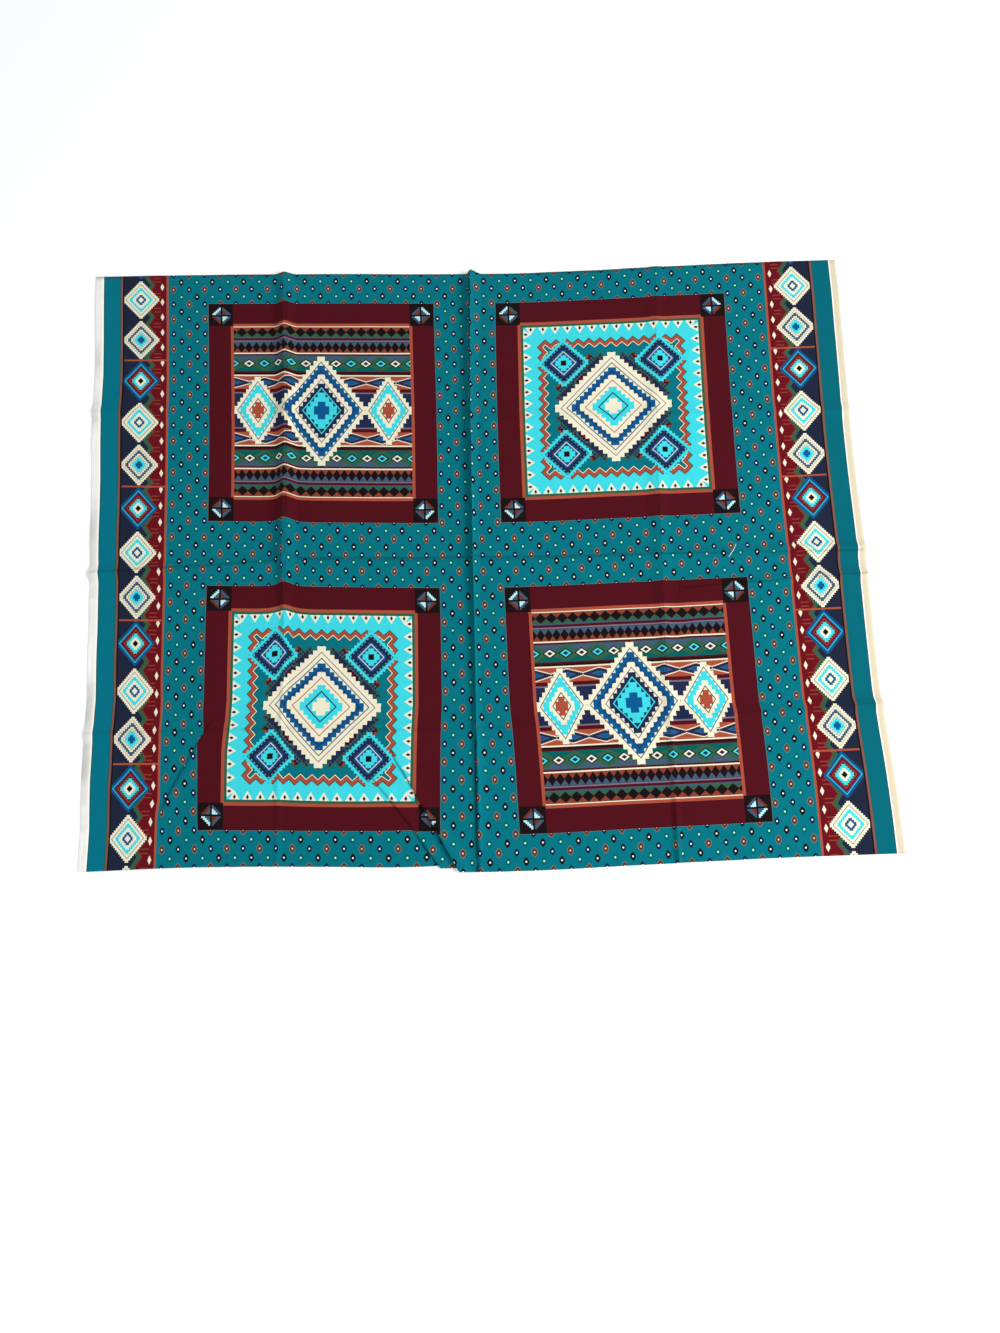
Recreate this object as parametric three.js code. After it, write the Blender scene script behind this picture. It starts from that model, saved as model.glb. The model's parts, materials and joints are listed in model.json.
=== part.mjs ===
import * as THREE from "three";

// A printed cotton panel lying loose on a table. Across runs from the left selvage to the right one,
// up runs from the cut edge at the bottom of the print to the cut edge at its top. Lengths in mm.

// Size of the cloth when pressed flat, measured from the middle of its print
const leftSelvage = -557;
const rightSelvage = 561;
const cutLength = 863.6;
const thickness = 1.2;
const topCut = cutLength / 2;
const lowCut = -cutLength / 2;

// Where the middle of the print would lie, from the middle of the space the laid cloth takes up
const printCentreX = -12.85;
const printCentreY = -5.9;

// Places of upright lines of the print on the table: at the top cut, half way and at the bottom cut
const sections = [
  { across: -557, topX: -564, midX: -550.5, lowX: -533, topY: 431.5, midY: 9, lowY: -438.5 },
  { across: -388, topX: -398, midX: -384.5, lowX: -373, topY: 433.5, midY: 6, lowY: -433 },
  { across: -220, topX: -230.5, midX: -217, lowX: -213, topY: 434, midY: 3, lowY: -434.5 },
  { across: -52, topX: -64.5, midX: -51.5, lowX: -46, topY: 433.5, midY: 1, lowY: -437 },
  { across: 52, topX: 40, midX: 51, lowX: 63.5, topY: 434.5, midY: 1, lowY: -438 },
  { across: 220, topX: 208, midX: 219.5, lowX: 237.5, topY: 441, midY: 7, lowY: -433 },
  { across: 388, topX: 376, midX: 392, lowX: 409.5, topY: 448.5, midY: 14.5, lowY: -426.5 },
  { across: 561, topX: 548.5, midX: 565.5, lowX: 585, topY: 455, midY: 22.5, lowY: -420.5 },
];

// Folds left by storage. Each runs straight from its first end to its second. Rise is the height of
// its crest and half the width of cloth from crest to foot, at even stations from end to end. Taken
// is the cloth it gathers in, fade the length over which it dies away at an end, and reach how far
// beside it the gathering is felt. A fold with no taken column gathers what its own slopes need.
// Via is the place where a fold turns.
const folds = [
  { name: "centre ridge", along: "up", from: [11, topCut], to: [-2, lowCut],
    rise: [14.5, 13.5, 11.7, 9.4, 0.5], half: [20, 15, 14, 13, 13] },
  { name: "left ridge", along: "up", from: [-273.5, topCut], to: [-276, lowCut],
    rise: [4, 9.5, 10.5, 12, 13, 2.5, 2, 2, 2], half: [16, 19, 20, 20, 20, 10, 8, 8, 8],
    taken: [2, 5, 6.5, 7.5, 7, 4.5, 3, 2, 1] },
  { name: "right ridge", along: "up", from: [289, topCut], to: [258, lowCut],
    rise: [1.5, 4, 4, 3, 5], half: [14, 20, 18, 9, 6.5] },
  { name: "middle crease", along: "across", from: [leftSelvage, -32], via: [-275, -12],
    to: [rightSelvage, -11], rise: [4, 4.3, 5], half: [14, 14] },
  { name: "second crease", along: "across", from: [300, -58], to: [rightSelvage, -50],
    rise: [3, 4], half: [12, 12], fade: [60, 0] },
  { name: "upper crease", along: "across", from: [leftSelvage, 213], to: [rightSelvage, 196],
    rise: [2, 3], half: [14, 14] },
  { name: "lower crease", along: "across", from: [leftSelvage, -253], to: [rightSelvage, -233],
    rise: [2.5, 2, 2, 3, 6], half: [14, 14] },
  { name: "outer dart", along: "slant", from: [-142, -322], to: [-72, -433],
    rise: [0.8, 2], half: [8, 8], taken: [0, 6.6], fade: [30, 0], reach: 70 },
  { name: "inner dart", along: "slant", from: [-114, -289], to: [-36, -434],
    rise: [1, 5], half: [12, 12], taken: [0, 11.5], fade: [30, 0], reach: 80 },
  { name: "side tuck", along: "slant", from: [-375, -241], to: [-463, -359],
    rise: [1.6, 1.6], half: [9, 9], taken: [9.3, 9.3], fade: [35, 25], reach: 70 },
];

// Crests are rounded over this part of the half width, and their feet run out softly
const crestRounding = 0.18;
const footSoftness = 1.35;

// Widest spacing of the surface between folds, and the spacing where a slanting fold crosses
const openStep = 58;
const slantStep = 11;

const smooth = (t) => {
  const c = THREE.MathUtils.clamp(t, 0, 1);
  return c * c * (3 - 2 * c);
};

// Height of a fold of rise 1 at q half widths from its crest
function crestProfile(q) {
  const top = Math.hypot(1, crestRounding);
  const here = Math.hypot(Math.min(Math.abs(q), 1), crestRounding);
  return Math.max((top - here) / (top - crestRounding), 0) ** footSoftness;
}

// Value at a part of the way along a fold, between its even stations
function station(values, part) {
  const place = part * (values.length - 1);
  const i = Math.min(Math.floor(place), values.length - 2);
  return THREE.MathUtils.lerp(values[i], values[i + 1], place - i);
}

// The straight stretch of a fold that a place across belongs to
function stretchOf(fold, across) {
  if (!fold.via) return [fold.from, fold.to];
  return across < fold.via[0] ? [fold.from, fold.via] : [fold.via, fold.to];
}

// How far along a fold a point lies, from 0 at its first end to 1 at its second
function partOf(fold, across, up) {
  const dx = fold.to[0] - fold.from[0];
  const dy = fold.to[1] - fold.from[1];
  const along = (across - fold.from[0]) * dx + (up - fold.from[1]) * dy;
  return THREE.MathUtils.clamp(along / (dx * dx + dy * dy), 0, 1);
}

// Height of the cloth at a point of the flat print, and how far the folds draw that point aside
function foldAt(across, up) {
  const sum = { x: 0, y: 0, z: 0 };
  for (const fold of folds) {
    const [from, to] = stretchOf(fold, across);
    const length = Math.hypot(to[0] - from[0], to[1] - from[1]);
    const ex = (to[0] - from[0]) / length;
    const ey = (to[1] - from[1]) / length;
    const along = (across - from[0]) * ex + (up - from[1]) * ey;
    const aside = (up - from[1]) * ex - (across - from[0]) * ey;
    const part = partOf(fold, across, up);
    const [startFade, endFade] = fold.fade || [0, 0];
    let fade = 1;
    if (startFade > 0) fade *= smooth(along / startFade);
    if (endFade > 0) fade *= smooth((length - along) / endFade);
    const rise = station(fold.rise, part) * fade;
    const half = station(fold.half, part);
    const taken = fold.taken
      ? station(fold.taken, part) * fade
      : 2 * (half - Math.sqrt(half ** 2 - rise ** 2));
    let drawn = (taken * THREE.MathUtils.clamp(aside / half, -1, 1)) / 2;
    if (fold.reach) drawn *= Math.exp(-Math.max(Math.abs(aside) - half, 0) / fold.reach);
    sum.x += drawn * ey;
    sum.y -= drawn * ex;
    sum.z += rise * crestProfile(aside / half);
  }
  return sum;
}

// Value of one column of the sections at a place across, by a cubic through the rows
function acrossSections(column, across) {
  const last = sections.length - 1;
  const slope = (i) =>
    (sections[i + 1][column] - sections[i][column]) / (sections[i + 1].across - sections[i].across);
  const tangent = (i) => {
    if (i === 0) return slope(0);
    if (i === last) return slope(last - 1);
    const before = sections[i].across - sections[i - 1].across;
    const after = sections[i + 1].across - sections[i].across;
    return (slope(i - 1) * after + slope(i) * before) / (before + after);
  };
  let i = 0;
  while (i < last - 1 && across >= sections[i + 1].across) i += 1;
  const span = sections[i + 1].across - sections[i].across;
  const t = (across - sections[i].across) / span;
  return (
    (2 * t ** 3 - 3 * t ** 2 + 1) * sections[i][column] +
    (t ** 3 - 2 * t ** 2 + t) * span * tangent(i) +
    (3 * t ** 2 - 2 * t ** 3) * sections[i + 1][column] +
    (t ** 3 - t ** 2) * span * tangent(i + 1)
  );
}

// Place on the table of a point of the flat print
function laid(across, up) {
  const t = up / topCut;
  const through = (top, mid, low) => {
    const a = acrossSections(top, across);
    const b = acrossSections(mid, across);
    const c = acrossSections(low, across);
    return b + ((a - c) / 2) * t + ((a + c) / 2 - b) * t * t;
  };
  const fold = foldAt(across, up);
  return new THREE.Vector3(
    through("topX", "midX", "lowX") + fold.x + printCentreX,
    through("topY", "midY", "lowY") + fold.y + printCentreY,
    fold.z,
  );
}

// Where a line beside a fold crosses a place up or across, offset by a number of half widths
function besideFold(fold, offset) {
  if (fold.along === "up") {
    return (up) => {
      const t = (up - fold.from[1]) / (fold.to[1] - fold.from[1]);
      const crest = THREE.MathUtils.lerp(fold.from[0], fold.to[0], t);
      return crest + offset * station(fold.half, partOf(fold, crest, up));
    };
  }
  return (across) => {
    const [from, to] = stretchOf(fold, across);
    const t = (across - from[0]) / (to[0] - from[0]);
    const crest = THREE.MathUtils.lerp(from[1], to[1], t);
    return crest + offset * station(fold.half, partOf(fold, across, crest));
  };
}

// Lines of the surface in one direction, each as its place for a place along it. They follow the
// folds that run that way, cross the slanting ones closely, and are spaced out elsewhere.
function surfaceLines(direction, low, high, offsets) {
  const axis = direction === "up" ? 0 : 1;
  const lines = [() => low, () => high];
  for (const fold of folds.filter((f) => f.along === direction)) {
    for (const offset of offsets) lines.push(besideFold(fold, offset));
  }
  for (const fold of folds.filter((f) => f.along === "slant")) {
    const start = Math.min(fold.from[axis], fold.to[axis]) - fold.half[0] / 2;
    const end = Math.max(fold.from[axis], fold.to[axis]) + fold.half[0] / 2;
    const steps = Math.ceil((end - start) / slantStep);
    for (let i = 0; i <= steps; i += 1) {
      const place = start + ((end - start) * i) / steps;
      const clear = lines.every((line) => Math.abs(line(0) - place) > slantStep * 0.55);
      if (place > low + 3 && place < high - 3 && clear) lines.push(() => place);
    }
  }
  lines.sort((a, b) => a(0) - b(0));
  const filled = [lines[0]];
  for (let i = 1; i < lines.length; i += 1) {
    const [before, line] = [lines[i - 1], lines[i]];
    const steps = Math.ceil((line(0) - before(0)) / openStep);
    for (let k = 1; k <= steps; k += 1) {
      filled.push((place) => THREE.MathUtils.lerp(before(place), line(place), k / steps));
    }
  }
  return filled;
}

const upright = surfaceLines("up", leftSelvage, rightSelvage, [-1, -0.5, -0.16, 0.16, 0.5, 1]);
const level = surfaceLines("across", lowCut, topCut, [-1, -0.45, 0, 0.45, 1]);

// Crossing of an upright and a level line on the flat print
function crossing(upLine, levelLine) {
  let across = 0;
  let up = 0;
  for (let pass = 0; pass < 5; pass += 1) {
    across = upLine(up);
    up = levelLine(across);
  }
  return [across, up];
}

// The cloth as one closed sheet: its underside, its face above it, and the rim between them
function clothGeometry() {
  const columns = upright.length;
  const rows = level.length;
  const position = [];
  const index = [];
  const under = (c, r) => r * columns + c;
  const face = (c, r) => rows * columns + under(c, r);
  const points = level.flatMap((levelLine) => upright.map((upLine) => crossing(upLine, levelLine)));
  for (const [across, up] of points) position.push(...laid(across, up).toArray());
  const reach = 0.5;
  for (const [across, up] of points) {
    const east = laid(across + reach, up).sub(laid(across - reach, up));
    const north = laid(across, up + reach).sub(laid(across, up - reach));
    const normal = east.cross(north).normalize();
    position.push(...laid(across, up).addScaledVector(normal, thickness).toArray());
  }
  for (let r = 0; r < rows - 1; r += 1) {
    for (let c = 0; c < columns - 1; c += 1) {
      index.push(face(c, r), face(c + 1, r), face(c + 1, r + 1));
      index.push(face(c, r), face(c + 1, r + 1), face(c, r + 1));
      index.push(under(c, r), under(c + 1, r + 1), under(c + 1, r));
      index.push(under(c, r), under(c, r + 1), under(c + 1, r + 1));
    }
  }
  const rim = (a, b) => index.push(a[0], b[0], b[1], a[0], b[1], a[1]);
  const pair = (c, r) => [under(c, r), face(c, r)];
  for (let c = 0; c < columns - 1; c += 1) {
    rim(pair(c, 0), pair(c + 1, 0));
    rim(pair(c + 1, rows - 1), pair(c, rows - 1));
  }
  for (let r = 0; r < rows - 1; r += 1) {
    rim(pair(0, r + 1), pair(0, r));
    rim(pair(columns - 1, r), pair(columns - 1, r + 1));
  }
  const geometry = new THREE.BufferGeometry();
  geometry.setAttribute("position", new THREE.Float32BufferAttribute(position, 3));
  geometry.setIndex(index);
  geometry.computeVertexNormals();
  return geometry;
}

const cotton = new THREE.MeshStandardMaterial({ color: 0x087684, roughness: 0.92, metalness: 0 });
cotton.side = THREE.DoubleSide;

const panel = new THREE.Mesh(clothGeometry(), cotton);
panel.name = "printed_panel";

const part = new THREE.Group();
part.name = "printed_fabric_panel";
part.add(panel);

export default part;
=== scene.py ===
import json
import math

import bpy
import numpy as np
from bpy.props import (CollectionProperty, FloatProperty, FloatVectorProperty, IntProperty,
                       PointerProperty)
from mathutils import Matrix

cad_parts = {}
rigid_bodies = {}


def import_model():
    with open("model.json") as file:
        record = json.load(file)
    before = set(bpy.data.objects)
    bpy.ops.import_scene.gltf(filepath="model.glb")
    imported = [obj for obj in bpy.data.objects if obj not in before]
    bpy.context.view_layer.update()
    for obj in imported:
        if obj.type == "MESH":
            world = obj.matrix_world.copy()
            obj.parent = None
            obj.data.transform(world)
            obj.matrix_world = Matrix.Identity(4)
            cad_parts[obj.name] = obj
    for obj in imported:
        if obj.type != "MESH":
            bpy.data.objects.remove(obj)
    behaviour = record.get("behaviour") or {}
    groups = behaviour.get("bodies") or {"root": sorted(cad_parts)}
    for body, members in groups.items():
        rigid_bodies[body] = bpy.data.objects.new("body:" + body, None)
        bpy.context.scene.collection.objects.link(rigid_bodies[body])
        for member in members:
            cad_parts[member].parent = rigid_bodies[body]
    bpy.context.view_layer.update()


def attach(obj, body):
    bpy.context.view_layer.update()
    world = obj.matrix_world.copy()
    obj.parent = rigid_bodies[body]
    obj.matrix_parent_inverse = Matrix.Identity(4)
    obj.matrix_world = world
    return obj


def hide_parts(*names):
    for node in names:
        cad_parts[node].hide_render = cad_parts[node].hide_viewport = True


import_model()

bl_info = {
    "name": "Printed Fabric Panel",
    "version": (1, 0, 0),
    "blender": (4, 5, 0),
    "location": "View3D > Sidebar > Fabric Panel",
    "description": "Lays a printed cotton panel with its storage folds, yarn ends and studio stage",
    "category": "Object",
}

MM = 0.001

# The cloth as it lies. Across runs from the left selvage to the right one and up from the lower cut
# edge to the upper one, in mm from the middle of the print, on cloth pressed flat.
PRINT_CENTRE = (-12.85, -5.9)
# Places of upright lines of the print on the table: across, then x and y at top cut, half way, low cut
SECTIONS = np.array([
    (-557, -564, -550.5, -533, 431.5, 9, -438.5),
    (-388, -398, -384.5, -373, 433.5, 6, -433),
    (-220, -230.5, -217, -213, 434, 3, -434.5),
    (-52, -64.5, -51.5, -46, 433, 1, -441),
    (-20, -32.4, -20, -12.3, 433, 1, -441.5),
    (52, 40, 51, 63.5, 433, 1, -440.5),
    (220, 208, 219.5, 237.5, 439, 7, -433),
    (388, 376, 392, 409.5, 448.5, 14.5, -426.5),
    (561, 548.5, 565.5, 585, 455, 22.5, -422),
])

# Storage folds: height of the crest (rise), width from crest to foot (half), cloth gathered in
# (taken), how far the crest leans to the fold's right (lean), each at even stations along the fold;
# via is where it turns, fade the length over which an end dies away, reach how far beside it the
# gathering is felt, pull the share of it that comes from the fold's left, bow how far the print is
# drawn back along the crest, and lap is true where the cloth folds over itself.
TOP, LOW = 431.8, -431.8
FOLDS = (
    dict(name="Centre ridge", ends=((14.5, TOP), (0.5, LOW)),
         rise=(13, 11.5, 9.8, 8.2, 0.5), half=(17, 12.9, 11, 9, 13), lean=(-4.5, -5, -4.2, -4, -1)),
    dict(name="Left ridge", ends=((-273.5, TOP), (-276, LOW)),
         rise=(8, 12.5, 12, 12, 13, 2.5, 2, 2, 2), half=(16, 19, 20, 20, 20, 10, 8, 8, 8),
         taken=(2, 5, 6.5, 7.5, 7, 4.5, 3, 2, 1), lean=(0, 0, 0, -1, -2, 0, 0, 0, 0),
         bow=(0, 0, 1, 3, 5.5, 5.5, 3, 1, 0)),
    dict(name="Right ridge", ends=((289, TOP), (258, LOW)),
         rise=(1.5, 4, 4, 3, 5), half=(14, 20, 18, 9, 6.5)),
    dict(name="Middle crease", ends=((-557, -32), (561, -11)), via=(-275, -12),
         rise=(4, 4.3, 5), half=(14, 14)),
    dict(name="Second crease", ends=((300, -58), (561, -50)), rise=(3, 4), half=(12, 12), fade=(60, 0)),
    dict(name="Upper crease", ends=((-557, 213), (561, 196)), rise=(2, 3), half=(14, 14)),
    dict(name="Lower crease", ends=((-557, -253), (561, -233)), rise=(2.5, 2, 2, 3, 6), half=(14, 14)),
    dict(name="Outer dart", ends=((-138, -320), (-62, -433)), rise=(1.2, 2.6), half=(8, 8),
         taken=(0, 6.6), fade=(20, 0), reach=70, lap=True, pull=1.0),
    dict(name="Inner dart", ends=((-112, -286), (-31.5, -434)), rise=(1.5, 6), half=(12, 12),
         taken=(0, 6, 9.5, 10.5, 11.5), fade=(20, 0), reach=110, lap=True, pull=1.0),
    dict(name="Side tuck", ends=((-368, -226), (-450, -372)), rise=(2, 1.8), half=(9, 9),
         taken=(11, 9.3), fade=(45, 35), reach=70, lap=True),
    dict(name="Small wrinkle", ends=((322, -94), (288, -131)), rise=(1.5, 1.5), half=(7, 7),
         taken=(2.5, 2.5), fade=(10, 10), reach=30),
)

# How far the two selvages wander outward from the lines above, at even stations from the top cut,
# and from where to where across the print that is felt more and more
LEFT_WANDER = (0, 0, 0, 0, 2.8, 2.6, 1.4, 1, 1, -1, -1.8, -1.2, -2, -1, -0.5, -1, 2)
RIGHT_WANDER = (1.4, 2.8, 2.8, 2.8, 2.8, 2.2, 2.4, 2.8, 3.6, 2.2, 1.2, 0.7, 0.3, 0.9, 2.8, 4, 5)
WANDER_FROM, WANDER_FULL = 400.0, 545.0

# A curve node holds 0 to 1 only, so values at stations are shared out over this span, and those of
# the wander are raised above 0 on the way in
STATION_SPAN = 20
WANDER_RAISE = 5

# How far beside a crest its bow is felt
BOW_REACH = 20
# Least half width of the turn where a fold laps, and how far past it the raised cloth comes down
LAP_TURN, LAP_RUN = 2.5, 14
# Swells of the cloth: fineness of the noise, and the values of it where a swell begins and is full
SLOW_SWELL, BRISK_SWELL = (0.009, 0.42, 0.75), (0.022, 0.5, 0.8)
BRISK_STRETCH, BRISK_SHARE = 1.6, 0.5

# Painted shade and painted highlight along the folds' creases: from, to, width, how dark the
# painted shade line is, and how light the painted highlight beside it is
CREASE_SHADE_LINES = (
    ((9.5, TOP), (-4, LOW), 3.0, 0.8, 0.35),
    ((-270, TOP), (-272, -60), 1.1, 0.30, 0.05),
    ((289, TOP), (258, LOW), 1.1, 0.22, 0.0),
    ((-557, -30), (-275, -9.5), 2.4, 0.28, 0.16),
    ((-275, -7), (5, -3), 2.4, 0.28, 0.16),
    ((5, -2), (561, -16), 2.0, 0.26, 0.10),
    ((300, -58), (561, -50), 1.8, 0.30, 0.08),
    ((298, -48), (292, -70), 1.3, 0.30, 0.0),
    ((-557, 213), (561, 196), 1.8, 0.07, 0.02),
    ((-557, -253), (561, -233), 2.2, 0.15, 0.03),
    ((-120, -273), (-38, -438), 1.5, 0.55, 0.0),
    ((-146, -310), (-66, -436), 1.3, 0.50, 0.0),
    ((-383, -262), (-422, -338), 1.5, 0.14, 0.0),
)

# Stretches where the surface has closer lines: from, to and spacing
CLOSE_ACROSS = ((-480, -360, 2.9), (-302, -248, 2.0), (-162, -34, 1.6), (-34, 34, 1.7), (238, 312, 2.5))
CLOSE_UP = ((-432, -282, 2.3), (-282, -225, 2.6), (-74, 8, 2.6), (184, 228, 3.0))
OPEN_STEP = 14.0

# The print. Frames are squares around four designs, with ground between and beside them.
FRAME_X, FRAME_Y = 220.15, 216.0
FRAME_HALF, FRAME_LINE = 168.0, 0.7
RUST_OUT, PICTURE_HALF = 136.1, 131.8
BLOCK_IN = 132.5
ROSETTE, ROSETTE_GAP, ROSETTE_STEP = 149.2, 1.3, 2.4
LEAF_REACH, LEAF_SPLIT = 10.8, 5.4
SEAM_HALF = 134.0
STRIP_IN, STRIP_OUT = 451.15, 516.15
STRIP_LINE = 3.0
STRIP_SEAM = STRIP_IN - STRIP_LINE / 2
STRIP_PERIOD = 196.0
FLECK_STEP = 24.5
BAND_IN, BAND_OUT = 520.2, 543.3
PRINT_EDGE = 544.85
DOT_ACROSS, DOT_UP = 11.586, 12.0
DOT_ROW = 384.0
# Black rim round a stepped diamond, as a share of its half width
DIAMOND_RIM = 1.03

# The weave: two yarns' width in mm, and heights in metres of the weave, the crumpling and a crease
WEAVE_PITCH = 0.74
WEAVE_HEIGHT, CRUMPLE_HEIGHT, CREASE_DEPTH = 0.00004, 0.0016, 0.0006
SLUB_STRETCH = (0.05, 1.7, 0)
BACK_FADE = 0.12

# The second map, where every face has its own place: margin, then share and corner of the back,
# then from and to across, floor, step and height of the rim's four rows
MAP_MARGIN = 0.001
BACK_SHARE, BACK_CORNER = 0.28, (0.002, 0.781)
RIM_FROM, RIM_TO = 0.3, 0.99
RIM_FLOOR, RIM_STEP, RIM_HEIGHT = 0.79, 0.04, 0.02

# The loose thread: its first end on the flat print, its run and swing in mm, then steps, and how
# high it lies and its radius in metres
THREAD_START, THREAD_RUN, THREAD_SWING = (378, 2), (-12.2, -19.3), 0.9
THREAD_STEPS = 12
THREAD_LIFT, THREAD_RADIUS = 0.0005, 0.00035

# The stage, in metres: each light's name, place, size and power, and the photo's camera, whose focal
# length was found in pixels of the photo's height
LIGHTS = (("key", (2.3, -0.5, 1.85), 1.6, 72), ("fill", (-1.0, -1.6, 4.0), 3.0, 30))
ROOM_COLOUR, ROOM_STRENGTH = (0.97, 0.985, 1, 1), 0.66
FLOOR_SIDE, FLOOR_DROP, FLOOR_PALE = 8.0, 0.0004, 0.98
SENSOR, FOCAL_PIXELS, PHOTO_HEIGHT = 36, 1200, 1333
CAMERA_PLACE = (0.02245, -0.4761, 1.6362)
CAMERA_TILT, CAMERA_TURN = 10.756, -0.329

COLOURS = {
    "teal": (0, 113, 127), "band": (0, 114, 133), "maroon": (79, 13, 24), "rust": (170, 78, 56),
    "navy": (32, 40, 74), "black": (24, 14, 16), "forest": (50, 92, 70), "turquoise": (62, 214, 224),
    "royal": (8, 86, 140), "cream": (238, 232, 204), "aqua": (188, 236, 238), "red": (104, 14, 26),
    "lilac": (120, 108, 124), "salmon": (236, 140, 118), "slate": (64, 88, 112),
    "selvage": (220, 208, 180), "white": (255, 255, 252), "yarn": (226, 224, 208),
    "bark": (84, 56, 42), "clay": (152, 108, 88), "night": (30, 37, 58), "stripe": (126, 85, 76),
    "bay": (0, 101, 115), "edge": (20, 84, 84), "ink": (12, 24, 54), "pine": (0, 94, 88),
    "mint": (176, 246, 228), "chalk": (236, 248, 255),
}


def linear(colour):
    """A colour of 0 to 255 steps as the linear one that Blender mixes."""
    parts = [c / 255 for c in colour]
    return tuple(c / 12.92 if c <= 0.04045 else ((c + 0.055) / 1.055) ** 2.4 for c in parts)


class FABRIC_PG_colour(bpy.types.PropertyGroup):
    """One printing or yarn colour."""

    value: FloatVectorProperty(name="Colour", description="Colour of the printed or bare cotton",
                               subtype="COLOR", default=(0.8, 0.8, 0.8), min=0, max=1)


class FABRIC_PG_panel(bpy.types.PropertyGroup):
    """Sizes of the panel that a user would change."""

    left_selvage: FloatProperty(name="Left Selvage", description="From mid print to the left edge",
                                default=0.557, unit="LENGTH")
    right_selvage: FloatProperty(name="Right Selvage", description="From mid print to the right edge",
                                 default=0.561, unit="LENGTH")
    cut_length: FloatProperty(name="Cut Length", description="Length between the two cut edges",
                              default=0.8636, unit="LENGTH")
    thickness: FloatProperty(name="Cloth Thickness", description="Thickness of the cotton",
                             default=0.00045, unit="LENGTH", precision=5)
    fold_height: FloatProperty(name="Fold Height", description="Scale of all storage folds",
                               default=1.0, subtype="FACTOR", min=0, max=1.1)
    unevenness: FloatProperty(name="Unevenness", description="Height of the soft swells of the cloth",
                              default=0.0009, unit="LENGTH", precision=5)
    yarn_length: FloatProperty(name="Yarn End Length", description="Length of a frayed yarn end",
                               default=0.0022, unit="LENGTH", precision=5)
    yarn_spacing: FloatProperty(name="Yarn End Spacing", description="From one yarn end to the next",
                                default=0.0024, unit="LENGTH", precision=5)
    yarn_thickness: FloatProperty(name="Yarn Thickness", description="Diameter of one yarn",
                                  default=0.00026, unit="LENGTH", precision=5)
    seed: IntProperty(name="Seed", description="Seed of the uneven parts", default=7, min=0)
    colours: CollectionProperty(name="Colours", description="Printing colours",
                                type=FABRIC_PG_colour)


class Field:
    """A number worked out by maths nodes, used with Python's own operators."""

    def __init__(self, tree, socket):
        self.tree = tree
        self.socket = socket

    def __add__(self, other):
        return maths(self.tree, "ADD", self, other)

    def __radd__(self, other):
        return maths(self.tree, "ADD", other, self)

    def __sub__(self, other):
        return maths(self.tree, "SUBTRACT", self, other)

    def __rsub__(self, other):
        return maths(self.tree, "SUBTRACT", other, self)

    def __mul__(self, other):
        return maths(self.tree, "MULTIPLY", self, other)

    def __truediv__(self, other):
        return maths(self.tree, "DIVIDE", self, other)

    def __pow__(self, other):
        return maths(self.tree, "POWER", self, other)

    def __lt__(self, other):
        return maths(self.tree, "LESS_THAN", self, other)

    def __gt__(self, other):
        return maths(self.tree, "GREATER_THAN", self, other)

    def __abs__(self):
        return maths(self.tree, "ABSOLUTE", self)


def feed(tree, slot, value):
    """Links a field or socket into a slot, or sets a plain value there."""
    if isinstance(value, Field):
        value = value.socket
    if isinstance(value, bpy.types.NodeSocket):
        tree.links.new(value, slot)
    elif isinstance(value, (tuple, list)) and len(slot.default_value) == 4:
        slot.default_value = (*value, 1)
    else:
        slot.default_value = value


def maths(tree, operation, *values):
    """One maths node on the values."""
    node = tree.nodes.new("ShaderNodeMath")
    node.operation = operation
    for slot, value in zip(node.inputs, values):
        feed(tree, slot, value)
    return Field(tree, node.outputs[0])


def lesser(a, b):
    return maths(a.tree, "MINIMUM", a, b)


def greater(a, b):
    return maths(a.tree, "MAXIMUM", a, b)


def repeat(a, period):
    """Place from the middle of the nearest of evenly repeated cells."""
    return maths(a.tree, "WRAP", a, period / 2, -period / 2)


def zigzag(a, half_period):
    """A zigzag from 0 to half_period and back."""
    return maths(a.tree, "PINGPONG", a, half_period)


def stepped(a, size):
    return maths(a.tree, "SNAP", a, size)


def within(a, low, high):
    return (a > low) * (a < high)


def limited(a, low, high):
    return lesser(greater(a, low), high)


def root(a):
    return maths(a.tree, "SQRT", a)


def bell(a, sharpness=1):
    """1 where a is 0, and softly less to both sides."""
    return maths(a.tree, "EXPONENT", a * a * -sharpness)


def smoothly(a, low, high):
    """0 up to low, 1 from high, and a soft rise between."""
    node = a.tree.nodes.new("ShaderNodeMapRange")
    node.interpolation_type = "SMOOTHSTEP"
    for slot, value in zip(node.inputs, (a, low, high, 0.0, 1.0)):
        feed(a.tree, slot, value)
    return Field(a.tree, node.outputs[0])


def along_stations(part, values):
    """Value at a part of the way along, straight between even stations."""
    node = part.tree.nodes.new("ShaderNodeFloatCurve")
    curve = node.mapping.curves[0]
    for i, value in enumerate(values):
        place = (i / (len(values) - 1), value / STATION_SPAN)
        if i == 0:
            curve.points[0].location = place
        elif i == len(values) - 1:
            curve.points[-1].location = place
        else:
            curve.points.new(*place)
    for point in curve.points:
        point.handle_type = "VECTOR"
    node.mapping.update()
    feed(part.tree, node.inputs["Value"], part)
    return Field(part.tree, node.outputs[0]) * STATION_SPAN


def fold_stretches(across, fold):
    """Straight stretches of a fold: from, to and where each one holds, or None for everywhere."""
    first, last = fold["ends"]
    if "via" not in fold:
        return [(first, last, None)]
    before = across < fold["via"][0]
    return [(first, fold["via"], before), (fold["via"], last, 1 - before)]


def felt_share(along, length, fold, there):
    """How fully a fold is felt at a place along it, or None for fully all along."""
    start, end = fold.get("fade", (0, 0))
    if start:
        there = smoothly(along, 0.0, float(start))
    if end:
        there = there * (1 - smoothly(along, float(length - end), float(length)))
    return there


def crest_profile(shape, rounding, softness):
    """Height across a fold, 1 at the crest and 0 from the foot."""
    near = lesser(abs(shape), 1)
    here = root(near * near + rounding * rounding)
    top = root(rounding * rounding + 1)
    return greater((top - here) / (top - rounding), 0) ** softness


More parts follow.
